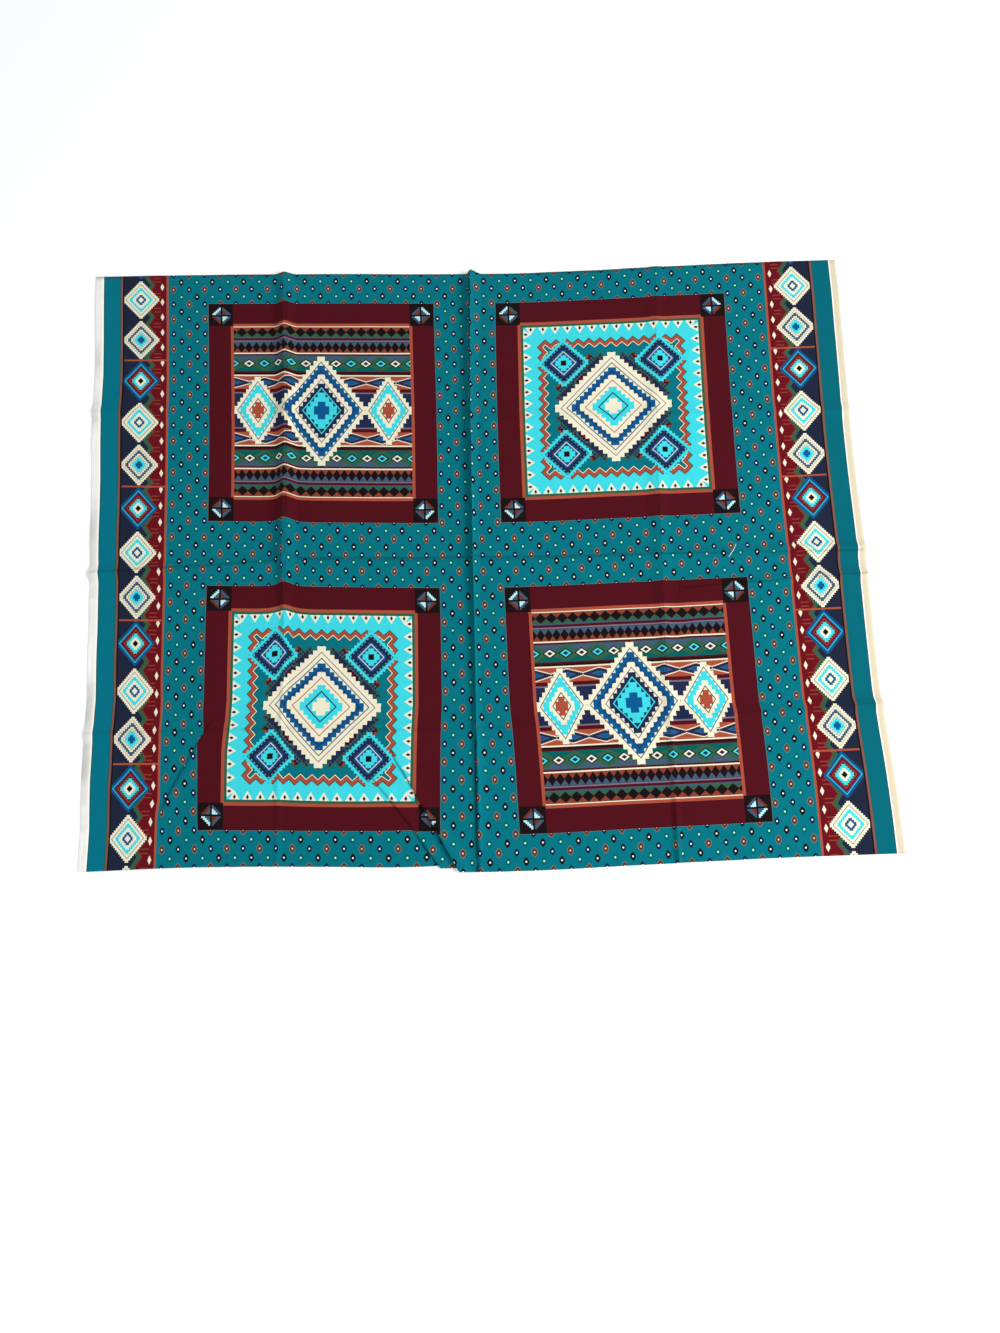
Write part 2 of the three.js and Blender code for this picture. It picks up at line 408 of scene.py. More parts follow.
def lapped(aside, crest, m, pull):
    """Where cloth laps over itself: how far it is drawn in, how far off the turn, and its height."""
    turn = greater(m * 0.8, LAP_TURN)
    swing = maths(m.tree, "SINE", limited(aside / turn, -1, 1) * (math.pi / 2))
    drawn = m * swing + m * (1 - 2 * pull)
    past = m * 1.5
    raised = smoothly(aside, m * -0.5, m * 0.5) * (1 - smoothly(aside, past, past + LAP_RUN))
    return drawn, abs(aside) - turn, crest * raised


def added(total, shift):
    """Two shifts together, where the first may not be there yet."""
    return shift if total is None else tuple(a + b for a, b in zip(total, shift))


def fold_shift(across, up, fold, height, rounding, softness):
    """Shift in x, y and z, in mm, that one storage fold gives each point of the flat print."""
    (ax, ay), (bx, by) = fold["ends"]
    dx, dy = bx - ax, by - ay
    squared = dx * dx + dy * dy
    part = limited((across - ax) * (dx / squared) + (up - ay) * (dy / squared), 0, 1)
    rise = along_stations(part, fold["rise"]) * height
    half = along_stations(part, fold["half"])
    total = None
    for (fx, fy), (tx, ty), there in fold_stretches(across, fold):
        length = math.hypot(tx - fx, ty - fy)
        ex, ey = (tx - fx) / length, (ty - fy) / length
        aside = (up - fy) * ex - (across - fx) * ey
        along = (across - fx) * ex + (up - fy) * ey
        felt = felt_share(along, length, fold, there)
        crest = rise if felt is None else rise * felt
        if "taken" in fold:
            gather = along_stations(part, fold["taken"]) * height
            gather = gather if felt is None else gather * felt
        else:
            gather = (half - root(half * half - crest * crest)) * 2
        shape = aside / half
        profile = crest_profile(shape, rounding, softness)
        if fold.get("lap"):
            drawn, beyond, z = lapped(aside, crest, gather / 2, fold.get("pull", 0.5))
        else:
            drawn = gather * limited(shape, -1, 1) / 2
            beyond = abs(aside) - half
            z = crest * profile
        if "reach" in fold:
            drawn = drawn * maths(drawn.tree, "EXPONENT", greater(beyond, 0) * (-1 / fold["reach"]))
        if "lean" in fold:
            drawn = drawn + along_stations(part, [-x for x in fold["lean"]]) * height * profile
        x, y = drawn * ey, drawn * -ex
        if "bow" in fold:
            back = along_stations(part, fold["bow"]) * bell(aside / BOW_REACH)
            x, y = x - back * ex, y - back * ey
        total = added(total, (x, y, z))
    return total


def new_group(name, inputs):
    """A geometry node tree with a geometry in and out and named sizes."""
    tree = bpy.data.node_groups.new(name, "GeometryNodeTree")
    tree.interface.new_socket("Geometry", in_out="INPUT", socket_type="NodeSocketGeometry")
    for label, kind, default in inputs:
        socket = tree.interface.new_socket(label, in_out="INPUT", socket_type=kind)
        socket.default_value = default
    tree.interface.new_socket("Geometry", in_out="OUTPUT", socket_type="NodeSocketGeometry")
    start = tree.nodes.new("NodeGroupInput")
    end = tree.nodes.new("NodeGroupOutput")
    return tree, start, end


def add_node(tree, kind, settings=(), **inputs):
    """A node with its settings and inputs; spaces in input names are written as underscores."""
    node = tree.nodes.new(kind)
    for key, value in dict(settings).items():
        setattr(node, key, value)
    for key, value in inputs.items():
        feed(tree, node.inputs[key.replace("_", " ")], value)
    return node


def print_place(tree):
    """Across, up and side of each point, from the attribute stored with the flat cloth."""
    named = add_node(tree, "GeometryNodeInputNamedAttribute", {"data_type": "FLOAT_VECTOR"},
                     Name="print_place")
    parts = add_node(tree, "ShaderNodeSeparateXYZ", Vector=named.outputs[0])
    return [Field(tree, s) for s in parts.outputs]


def swell(tree, across, up, seed, scale, low, high):
    """Random unevenness, 0 where the noise is below low and 1 where it is above high."""
    place = add_node(tree, "ShaderNodeCombineXYZ", X=across, Y=up)
    noise = add_node(tree, "ShaderNodeTexNoise", {"noise_dimensions": "4D"},
                     Vector=place.outputs[0], W=seed, Scale=scale, Detail=1.0)
    return smoothly(Field(tree, noise.outputs[0]), low, high)


def laid_cloth_tree(materials):
    """Raises the storage folds on the flat cloth, gives it thickness and its printed finishes."""
    tree, start, end = new_group("Laid Cloth", (
        ("Fold Height", "NodeSocketFloat", 1.0),
        ("Crest Rounding", "NodeSocketFloat", 0.18),
        ("Foot Softness", "NodeSocketFloat", 1.35),
        ("Cloth Thickness", "NodeSocketFloat", 0.00045),
        ("Unevenness", "NodeSocketFloat", 0.0009),
        ("Seed", "NodeSocketFloat", 7.0),
    ))
    given = {s.name: Field(tree, s) for s in start.outputs if s.name != "Geometry"}
    across, up, side = print_place(tree)
    total = None
    for fold in FOLDS:
        total = added(total, fold_shift(across, up, fold, given["Fold Height"],
                                        given["Crest Rounding"], given["Foot Softness"]))
    down = (up - TOP) / (LOW - TOP)
    for stations, outward in ((LEFT_WANDER, -1), (RIGHT_WANDER, 1)):
        wander = along_stations(down, [s + WANDER_RAISE for s in stations]) - WANDER_RAISE
        near_edge = smoothly(across * outward, WANDER_FROM, WANDER_FULL)
        total = (total[0] + wander * near_edge * outward, *total[1:])
    slow = swell(tree, across, up, given["Seed"], *SLOW_SWELL)
    brisk = swell(tree, across * BRISK_STRETCH, up, given["Seed"] + 3, *BRISK_SWELL)
    lift = (slow + brisk * BRISK_SHARE) * given["Unevenness"] + given["Cloth Thickness"] * 0.5
    folded = add_node(tree, "ShaderNodeCombineXYZ", X=total[0] * MM, Y=total[1] * MM,
                      Z=total[2] * MM + lift)
    raised = add_node(tree, "GeometryNodeSetPosition", Geometry=start.outputs[0],
                      Offset=folded.outputs[0])
    normal = add_node(tree, "GeometryNodeInputNormal")
    outward = add_node(tree, "ShaderNodeVectorMath", {"operation": "SCALE"},
                       Vector=normal.outputs[0], Scale=given["Cloth Thickness"] * 0.5)
    thick = add_node(tree, "GeometryNodeSetPosition", Geometry=raised.outputs[0],
                     Offset=outward.outputs[0])
    smooth = add_node(tree, "GeometryNodeSetShadeSmooth", Geometry=thick.outputs[0])
    last = add_node(tree, "GeometryNodeRealizeInstances", Geometry=smooth.outputs[0])
    square = greater(abs(abs(across) - FRAME_X), abs(abs(up) - FRAME_Y)) < SEAM_HALF
    like = (across * up) < 0.0
    regions = {"ground": None, "picture_one": square * like, "picture_two": square * (1 - like),
               "border": abs(across) > STRIP_SEAM}
    for part, over in (("face", side > 0.5), ("back", side < -0.5)):
        for region, inside in regions.items():
            chosen = over if inside is None else over * inside
            last = add_node(tree, "GeometryNodeSetMaterial", Geometry=last.outputs[0],
                            Selection=chosen, Material=materials[part, region])
    last = add_node(tree, "GeometryNodeSetMaterial", Geometry=last.outputs[0],
                    Selection=abs(side) < 0.5, Material=materials["edge"])
    tree.links.new(last.outputs[0], end.inputs[0])
    return tree


def run_tree(obj, tree, values):
    """Puts a node tree on an object, sets its named inputs and keeps the result as a plain mesh."""
    modifier = obj.modifiers.new(tree.name, "NODES")
    modifier.node_group = tree
    for item in tree.interface.items_tree:
        if item.in_out == "INPUT" and item.name in values:
            modifier[item.identifier] = values[item.name]
    shown = obj.evaluated_get(bpy.context.evaluated_depsgraph_get())
    made = bpy.data.meshes.new_from_object(shown)
    if not made.polygons:
        raise RuntimeError(f"{obj.name}: its node tree made no faces")
    old = obj.data
    obj.modifiers.clear()
    obj.data = made
    made.name = obj.name
    bpy.data.batch_remove([old])
    return made


def line_places(low, high, close, fixed=()):
    """Places of surface lines from low to high, closer where a fold runs."""
    places = [low]
    while places[-1] < high:
        here = places[-1]
        step = min([s for a, b, s in close if a <= here < b], default=OPEN_STEP)
        ahead = min([a for a, _, _ in close if a > here], default=high)
        places.append(min(here + step, ahead) if step == OPEN_STEP else here + step)
    places = np.array(places)
    places = low + (places - low) * (high - low) / (places[-1] - low)
    for place in fixed:
        places[np.abs(places - place).argmin()] = place
    return places


def lay_plan(across, up, half_length):
    """Place on the table of points of the flat print, before any fold is raised."""
    table, known = SECTIONS[:, 1:], SECTIONS[:, 0]
    i = np.clip(np.searchsorted(known, across, side="right") - 1, 0, len(known) - 2)
    gap = np.diff(known)
    slope = np.diff(table, axis=0) / gap[:, None]
    tangent = np.vstack([slope[:1], slope[:1].repeat(len(gap) - 1, 0), slope[-1:]])
    before, after = gap[:-1, None], gap[1:, None]
    tangent[1:-1] = (slope[:-1] * after + slope[1:] * before) / (before + after)
    span = gap[i][..., None]
    t = ((across - known[i]) / gap[i])[..., None]
    at = ((2 * t**3 - 3 * t**2 + 1) * table[i] + (t**3 - 2 * t**2 + t) * span * tangent[i]
          + (3 * t**2 - 2 * t**3) * table[i + 1] + (t**3 - t**2) * span * tangent[i + 1])
    w = up / half_length

    def through(top, mid, low):
        return mid + (top - low) / 2 * w + ((top + low) / 2 - mid) * w * w

    x = through(at[..., 0], at[..., 1], at[..., 2]) + PRINT_CENTRE[0]
    y = through(at[..., 3], at[..., 4], at[..., 5]) + PRINT_CENTRE[1]
    return x, y


def sheet_faces(tall, wide):
    """Faces of the printed sheet, of the matching back, and of the rim's four runs."""
    count = tall * wide
    grid = np.arange(count).reshape(tall, wide)
    a, b, c, d = (g.ravel() for g in (grid[:-1, :-1], grid[:-1, 1:], grid[1:, 1:], grid[1:, :-1]))
    rim = []
    for line in (grid[0], grid[::-1, 0], grid[-1, ::-1], grid[:, -1]):
        p, q = line[:-1], line[1:]
        rim.append(np.stack([p + count, q + count, q, p], 1))
    return np.stack([a, b, c, d], 1), np.stack([a, d, c, b], 1) + count, rim


def add_map(mesh, name, places):
    mesh.uv_layers.new(name=name).uv.foreach_set("vector", places.astype(np.float32).ravel())


def own_places(unit, faces, rim):
    """Map places that no two faces share: the printed side large, the back and the rim small."""
    packed = MAP_MARGIN + unit * (1 - 2 * MAP_MARGIN)
    backs = slice(4 * faces, 8 * faces)
    packed[backs] = unit[backs] * BACK_SHARE + BACK_CORNER
    first = 8 * faces
    for n, strip in enumerate(rim):
        t = np.linspace(RIM_FROM, RIM_TO, len(strip) + 1)
        low = RIM_FLOOR + RIM_STEP * n
        high = low + RIM_HEIGHT
        across = np.stack([t[:-1], t[1:], t[1:], t[:-1]], 1).ravel()
        up = np.tile((low, low, high, high), len(strip))
        packed[first:first + len(up)] = np.stack([across, up], 1)
        first += len(up)
    return packed


def flat_cloth(sizes):
    """The cloth as two matching sheets and the rim between them, with its maps."""
    low, high = -sizes.left_selvage / MM, sizes.right_selvage / MM
    half = sizes.cut_length / MM / 2
    seams_x, seams_y = ([way * middle + side * SEAM_HALF for way in (-1, 1) for side in (-1, 1)]
                        for middle in (FRAME_X, FRAME_Y))
    columns = line_places(low, high, CLOSE_ACROSS, fixed=(-STRIP_SEAM, STRIP_SEAM, *seams_x))
    rows = line_places(-half, half, CLOSE_UP, fixed=seams_y)
    across, up = (a.ravel() for a in np.meshgrid(columns, rows))
    points = np.zeros((2 * len(across), 3))
    for axis, place in enumerate(lay_plan(across, up, half)):
        points[:, axis] = np.tile(place, 2) * MM
    face, back, rim = sheet_faces(len(rows), len(columns))
    quads = np.vstack([face, back, *rim])
    mesh = bpy.data.meshes.new("printed_cloth")
    mesh.from_pydata(points, [], quads.tolist())
    side = np.repeat((1.0, -1.0), len(across))
    across, up = np.tile(across, 2), np.tile(up, 2)
    place = mesh.attributes.new("print_place", "FLOAT_VECTOR", "POINT")
    place.data.foreach_set("vector", np.stack([across, up, side], 1).ravel())
    corner = quads.ravel()
    flat = np.stack([across[corner], up[corner]], 1)
    add_map(mesh, "flat_print", flat * MM)
    add_map(mesh, "OFBake", own_places((flat - (low, -half)) / (high - low), len(face), rim))
    mesh.uv_layers.active = mesh.uv_layers["flat_print"]
    return mesh


def mixed(tree, blend, share, under, over):
    """One colour laid over another by a share."""
    node = add_node(tree, "ShaderNodeMix", {"data_type": "RGBA", "blend_type": blend})
    for slot, value in zip((node.inputs[0], node.inputs[6], node.inputs[7]), (share, under, over)):
        feed(tree, slot, value)
    return node.outputs[2]


class Print:
    """The colour of the print as it is painted up, layer by layer, in one material."""

    def __init__(self, tree, colours, base):
        self.tree = tree
        self.colours = colours
        self.ink = colours[base]

    def paint(self, colour, where):
        """Lays a colour, by name, over what is there."""
        self.ink = mixed(self.tree, "MIX", where, self.ink, self.colours[colour])

    def bands(self, place, table, where=None):
        """Plain bands, from a table of where each begins and its colour, lowest first."""
        low, high = table[0][0], table[-1][0] + 1.0
        node = self.tree.nodes.new("ShaderNodeValToRGB")
        ramp = node.color_ramp
        ramp.interpolation = "CONSTANT"
        while len(ramp.elements) < len(table):
            ramp.elements.new(1.0)
        for element, (begin, colour) in zip(ramp.elements, table):
            element.position = (begin - low) / (high - low)
            element.color = (*self.colours[colour], 1)
        feed(self.tree, node.inputs[0], (place - low) / (high - low))
        if where is None:
            self.ink = node.outputs[0]
        else:
            self.ink = mixed(self.tree, "MIX", where, self.ink, node.outputs[0])


def dots(ink, across, up):
    """The ground's lattice of small pointed dots in four colours."""
    column, row = across / DOT_ACROSS, (up - DOT_ROW) / DOT_UP
    a, b = (column + row) * 0.5, (column - row) * 0.5
    near_a, near_b = maths(ink.tree, "ROUND", a), maths(ink.tree, "ROUND", b)
    off_a, off_b = a - near_a, b - near_b
    x, y = abs(off_a + off_b) * DOT_ACROSS, abs(off_a - off_b) * DOT_UP
    odd_a = abs(maths(ink.tree, "MODULO", near_a, 2.0))
    odd_b = abs(maths(ink.tree, "MODULO", near_b, 2.0))
    eye = root(x * x + y * y * 0.85)
    kinds = (
        ((1 - odd_a) * (1 - odd_b), 3.7, 5.5, "bark", "clay", "blush", 1.1),
        (odd_a * odd_b, 3.7, 5.3, "ink", None, "chalk", 1.2),
        (odd_a * (1 - odd_b), 4.0, 6.0, "black", None, "chalk", 1.2),
        ((1 - odd_a) * odd_b, 3.6, 5.1, "pine", None, "mint", 1.3),
    )
    for there, wide, high, body, ring, centre, eye_size in kinds:
        reach = x / wide + y / high - (x * y) * (0.5 / (wide * high))
        if ring:
            ink.paint(ring, there * (reach < 1.15))
        ink.paint(body, there * (reach < 1.0))
        ink.paint(centre, there * (eye < eye_size))


def in_square(across, up):
    """How far a point is from the middle of its square, across and up."""
    return abs(abs(across) - FRAME_X), abs(abs(up) - FRAME_Y)


def ground(ink, across, up):
    """Dotted ground, the frames and their corner blocks."""
    dots(ink, across, up)
    s, t = in_square(across, up)
    square = greater(s, t)
    ink.bands(square, ((120.0, "navy"), (PICTURE_HALF, "rust"), (RUST_OUT, "maroon"),
                       (FRAME_HALF - FRAME_LINE, "black"), (FRAME_HALF, "ember"),
                       (FRAME_HALF + FRAME_LINE, "teal")), square < 168.6)
    block = lesser(s, t)
    ink.paint("black", (block > BLOCK_IN) * (square < FRAME_HALF))
    x, y = s - ROSETTE, t - ROSETTE
    out_x, out_y = x > 0, y > 0
    ring = stepped(abs(x) - ROSETTE_GAP, ROSETTE_STEP) + stepped(abs(y) - ROSETTE_GAP, ROSETTE_STEP)
    leaf = (ring < LEAF_REACH) * (lesser(abs(x), abs(y)) > ROSETTE_GAP)
    quarters = (
        (out_x * out_y, "slate", "aqua"),
        ((1 - out_x) * out_y, "brown", "slate"),
        (out_x * (1 - out_y), "slate", "brown"),
        ((1 - out_x) * (1 - out_y), "aqua", "slate"),
    )
    for quarter, inner, outer in quarters:
        ink.paint(outer, leaf * quarter)
        ink.paint(inner, leaf * quarter * (ring < LEAF_SPLIT))
    ink.paint("rust", abs(across) > STRIP_IN - STRIP_LINE)


def medallion(ink, x, y, centre, half, steps, layers, lines=()):
    """A stepped diamond of nested colours, each out to a number of steps, with thin plain lines."""
    cx, cy = abs(x - centre[0]) / half[0], abs(y - centre[1]) / half[1]
    plain = cx + cy
    ink.paint("black", plain < DIAMOND_RIM)
    count = maths(ink.tree, "FLOOR", cx * steps) + maths(ink.tree, "FLOOR", cy * steps)
    for reach, colour in layers:
        ink.paint(colour, count < reach - 0.5)
    for share, width, colour in lines:
        ink.paint(colour, abs(plain - share) < width)


def teeth(ink, x, y, low, high, pitch, colour, down=False):
    """A row of triangles between two heights."""
    rise = zigzag(x, pitch / 2) * (2 * (high - low) / pitch)
    level = (high - y) if down else (y - low)
    ink.paint(colour, (level < rise) * within(y, low, high))


def picture_edge(ink, across, up):
    """The framing line and the corner blocks where they meet a design."""
    s, t = in_square(across, up)
    ink.paint("rust", greater(s, t) > PICTURE_HALF)
    ink.paint("black", lesser(s, t) > BLOCK_IN)


def picture_one(ink, across, up):
    """Toothed bands, alike above and below the middle, with a row of stepped medallions in front."""
    x, y = in_square(across, up)
    ink.bands(y, (
        (0.0, "navy"), (26.0, "lilac"), (28.0, "maroon"), (33.0, "rust"), (53.0, "cream"),
        (55.0, "black"), (58.0, "maroon"), (61.0, "forest"), (85.0, "maroon"), (88.0, "cream"),
        (90.0, "black"), (107.0, "lilac"), (109.0, "maroon"), (113.0, "slate"), (115.0, "black"),
        (130.0, "cream"),
    ))
    for low, high, pitch, rising, falling in ((115.0, 122.0, 15.0, "forest", "ember"),
                                              (90.0, 98.0, 11.0, "ember", "slate")):
        teeth(ink, x, y, low, high, pitch, rising)
        teeth(ink, x, y, high + 1.0, 2 * high - low + 1.0, pitch, falling, down=True)
    teeth(ink, x, y, 61.0, 72.0, 44.0, "pine")
    teeth(ink, x, y, 74.0, 85.0, 44.0, "slate", down=True)
    for offset, colour in ((0.0, "turquoise"), (22.0, "cream")):
        spot = abs(repeat(x + offset, 44.0)) + abs(y - 73.0) * 1.4
        ink.paint("black", spot < 10.0)
        ink.paint(colour, spot < 7.5)
        ink.paint("navy", spot < 4.0)
    for size, colour in ((8.5, "cream"), (7.2, "navy"), (3.4, "slate"), (2.2, "royal")):
        wave = stepped(zigzag(x, 22.0), 3.0) * 0.3
        ink.paint(colour, abs(y - 43.0) < (size - wave))
    medallion(ink, x, y, (0.0, 0.0), (66.0, 84.0), 12, (
        (12, "cream"), (10, "royal"), (8, "cream"), (6, "navy"), (4, "turquoise"), (2, "royal")), (
        (0.9, 0.012, "slate"), (0.74, 0.012, "navy"), (0.58, 0.012, "lilac"),
        (0.42, 0.014, "turquoise")))
    medallion(ink, x, y, (98.0, 0.0), (34.0, 52.0), 8, (
        (8, "cream"), (6, "turquoise"), (4, "cream"), (2, "rust")), (
        (0.86, 0.02, "slate"), (0.36, 0.02, "black")))
    picture_edge(ink, across, up)


def picture_two(ink, across, up):
    """Toothed and zigzag borders round a dark field, with five stepped medallions in front."""
    x, y = in_square(across, up)
    cell_x, cell_y = abs(repeat(x, 40.0)), abs(repeat(y, 40.0))
    spot = stepped(cell_x, 3.0) + stepped(cell_y, 3.0)
    for size, colour in ((19.0, "forest"), (16.5, "navy"), (13.5, "slate"), (10.5, "black"),
                         (7.5, "red"), (4.5, "rust"), (1.5, "aqua")):
        ink.paint(colour, spot < size)
    edge, around = greater(x, y), lesser(x, y)
    wavy = edge + zigzag(around, 8.0) * 0.9
    ink.bands(wavy, ((70.0, "navy"), (82.0, "forest"), (84.5, "teal"), (98.0, "black"),
                     (99.0, "cream"), (100.5, "black"), (101.5, "rust"), (107.0, "black"),
                     (108.2, "turquoise")), wavy > 82.0)
    tooth = zigzag(around, 9.0) * 1.6
    ink.paint("black", (132.6 - edge) < tooth)
    ink.paint("cream", (130.6 - edge) < tooth)
    spot = abs(zigzag(around, 9.0) - 9.0) * 1.5 + abs(edge - 124.5)
    ink.paint("navy", spot < 3.4)
    ink.paint("forest", edge > 128.0)
    medallion(ink, x, y, (70.0, 70.0), (36.0, 36.0), 9, (
        (9, "turquoise"), (7, "navy"), (5, "royal"), (3, "turquoise"), (1, "black")), (
        (0.86, 0.02, "navy"), (0.5, 0.02, "cream")))
    medallion(ink, x, y, (0.0, 0.0), (84.0, 84.0), 14, (
        (14, "cream"), (10, "royal"), (8, "cream"), (5, "turquoise"), (2, "cream")), (
        (0.9, 0.01, "lilac"), (0.8, 0.012, "slate"), (0.64, 0.012, "navy"), (0.48, 0.01, "rust"),
        (0.25, 0.014, "navy")))
    picture_edge(ink, across, up)


def border(ink, across, up):
    """Side strip of stepped motifs, plain band and bare selvage."""
    place = abs(across)
    inner = place - STRIP_IN
    jag = inner - zigzag(up, 13.0) * 0.7
    ink.bands(jag, ((-20.0, "red"), (16.0, "brown"), (18.0, "forest"), (24.0, "night")),
              place > STRIP_IN)
    fleck = abs(repeat(up + 4.0, FLECK_STEP)) * 0.7 + abs(inner - 6.0) * 1.5
    ink.paint("cream", fleck < 4.2)
    bar = within(abs(repeat(up + 17.0, FLECK_STEP)), 2.0, 3.6)
    ink.paint("ember", bar * within(inner, 8.0, 19.0))
    thirds = (
        (0.0, ((11, "cream"), (7, "turquoise"), (5, "cream"), (3, "royal")),
         ((0.84, 0.02, "slate"), (0.08, 0.08, "cream"))),
        (65.3, ((11, "cream"), (8, "slate"), (6, "cream"), (4, "turquoise"), (2, "royal")),
         ((0.88, 0.015, "lilac"), (0.46, 0.015, "navy"))),
        (130.7, ((11, "royal"), (8, "red"), (5, "turquoise"), (3, "cream")),
         ((0.86, 0.02, "turquoise"), (0.6, 0.02, "rust"), (0.08, 0.08, "black"))),
    )
    for shift, layers, lines in thirds:
        there = repeat(up + shift, STRIP_PERIOD)
        medallion(ink, inner, there, (38.0, 0.0), (27.0, 30.5), 11, layers, lines)
    ink.paint("rust", abs(repeat(up + STRIP_PERIOD / 2, STRIP_PERIOD)) < 1.3)
    ink.bands(place, ((440.0, "rust"), (STRIP_IN, "red")), place < STRIP_IN)
    ink.bands(place, ((510.0, "night"), (STRIP_OUT - 2.2, "black"), (STRIP_OUT, "stripe"),
                      (BAND_IN - 1.0, "edge"), (BAND_IN, "band"), (BAND_OUT, "edge"),
                      (PRINT_EDGE, "white"), (546.4, "selvage"), (555.5, "white")),
              place > STRIP_OUT - 2.2)
    # The right band is painted darker than the left one: painted shade that makes up for the stronger
    # lamp light on that side
    ink.paint("bay", within(across, BAND_IN, BAND_OUT))
    # The left selvage is painted lighter than the right one, past plain white: painted light that makes
    # up for the weaker lamp light on that side
    ink.paint("bleached", across < -PRINT_EDGE)
    ink.paint("bone", within(across, -552.0, -546.0))


def painted_crease_shading(tree, across, up):
    """Painted shade along the creases at each point, and the painted highlight beside them."""
    waver = add_node(tree, "ShaderNodeTexNoise", Vector=add_node(
        tree, "ShaderNodeCombineXYZ", X=across, Y=up).outputs[0], Scale=0.03, Detail=2.0)
    waver = Field(tree, waver.outputs[0])
    dark, light = None, None
    for (ax, ay), (bx, by), width, shade_strength, highlight_strength in CREASE_SHADE_LINES:
        length = math.hypot(bx - ax, by - ay)
        ex, ey = (bx - ax) / length, (by - ay) / length
        aside = (up - ay) * ex - (across - ax) * ey + (waver - 0.5) * 5
        along = (across - ax) * ex + (up - ay) * ey
        there = within(along, 0.0, length) * smoothly(waver, 0.25, 0.5)
        near = aside / width
        # A painted shade line along the crease
        line = bell(near) * there * shade_strength
        dark = line if dark is None else dark + line
        if highlight_strength:
            # A painted highlight line beside the crease
            line = bell(near - 1.9, 1.6) * there * highlight_strength
            light = line if light is None else light + line
    return dark, light


def cotton_tone(tree, place, crease_shade, crease_highlight):
    """How light the cotton is: mottled and slubbed, with painted shade along the creases and a painted
    highlight beside them.
    """
    mottle = add_node(tree, "ShaderNodeTexNoise", Vector=place, Scale=0.11, Detail=4.0)
    stretched = add_node(tree, "ShaderNodeVectorMath", {"operation": "MULTIPLY"}, Vector=place)
    stretched.inputs[1].default_value = SLUB_STRETCH
    slub = add_node(tree, "ShaderNodeTexNoise", Vector=stretched.outputs[0], Scale=1.0, Detail=2.0)
    tone = 0.8 + Field(tree, mottle.outputs[0]) * 0.08 + Field(tree, slub.outputs[0]) * 0.05
    # Painted shade darkens the cotton along the creases and a painted highlight lightens it beside them
    return tone * (1 - lesser(crease_shade, 0.7)) + crease_highlight * 0.5


def cotton_relief(tree, place, across, up, crease_shade):
    """Height of the weave and of soft crumpling, less a dip along the creases."""
    warp, weft = (maths(tree, "SINE", way * (2 * math.pi / WEAVE_PITCH)) for way in (across, up))
    crumple = add_node(tree, "ShaderNodeTexNoise", Vector=place, Scale=0.035, Detail=3.0,
                       Roughness=0.55)
    creasing = Field(tree, crumple.outputs[0]) * CRUMPLE_HEIGHT
    return warp * weft * WEAVE_HEIGHT + creasing - crease_shade * CREASE_DEPTH


def new_finish(name, **settings):
    """A material with its node tree, and its shader with plain settings."""
    material = bpy.data.materials.new(name)
    material.use_nodes = True
    shader = material.node_tree.nodes["Principled BSDF"]
    for key, value in settings.items():
        feed(material.node_tree, shader.inputs[key.replace("_", " ")], value)
    return material, material.node_tree, shader


def cotton_finish(name, colours, painter, base, faded):
    """A plain-weave cotton material in the colours that the painter lays down."""
    material, tree, shader = new_finish(name, Roughness=0.92, Specular_IOR_Level=0.06,
                                        Sheen_Weight=0.02, Sheen_Roughness=0.5)
    source = add_node(tree, "ShaderNodeUVMap", {"uv_map": "flat_print"})
    place = add_node(tree, "ShaderNodeVectorMath", {"operation": "SCALE"},
                     Vector=source.outputs[0], Scale=1 / MM).outputs[0]
    parts = add_node(tree, "ShaderNodeSeparateXYZ", Vector=place)
    across, up = (Field(tree, s) for s in parts.outputs[:2])
    ink = Print(tree, colours, base)
    if painter:
        painter(ink, across, up)
    if faded:
        ink.paint("yarn", faded)
    # Painted shade along the creases and a painted highlight beside them, also used for the creases' dip
    crease_shade, crease_highlight = painted_crease_shading(tree, across, up)
    tone = cotton_tone(tree, place, crease_shade, crease_highlight)
    grey = add_node(tree, "ShaderNodeCombineColor", Red=tone, Green=tone, Blue=tone)
    shade = mixed(tree, "MULTIPLY", 1.0, ink.ink, grey.outputs[0])
    tree.links.new(shade, shader.inputs["Base Color"])
    relief = cotton_relief(tree, place, across, up, crease_shade)
    bump = add_node(tree, "ShaderNodeBump", Height=relief, Strength=0.8, Distance=1.0)
    tree.links.new(bump.outputs[0], shader.inputs["Normal"])
    return material


def ink_table(panel):
    """Linear colours by name, with the shades mixed from the main ones."""
    inks = {c.name: tuple(c.value) for c in panel.colours}

    def blend(a, b, share):
        return tuple(x + (y - x) * share for x, y in zip(inks[a], inks[b]))

    inks["ember"] = blend("rust", "black", 0.4)
    inks["blush"] = blend("salmon", "white", 0.5)
    inks["brown"] = blend("rust", "black", 0.6)
    # Lighter than white, and a cream mixed with it: painted light for the left selvage
    inks["bleached"] = blend("white", "black", -0.15)
    inks["bone"] = blend("bleached", "cream", 0.35)
    return inks


def cloth_materials(panel):
    """Finishes of the printed face, of its paler back and of the raw edge."""
    inks = ink_table(panel)
    painters = {"ground": (ground, "teal"), "picture_one": (picture_one, "navy"),
                "picture_two": (picture_two, "navy"), "border": (border, "navy")}
    made = {}
    for side, faded in (("face", 0.0), ("back", BACK_FADE)):
        for region, (painter, base) in painters.items():
            made[side, region] = cotton_finish(f"{region}_{side}", inks, painter, base, faded)
    made["edge"] = cotton_finish("raw_edge", inks, None, "yarn", 0.0)
    return made


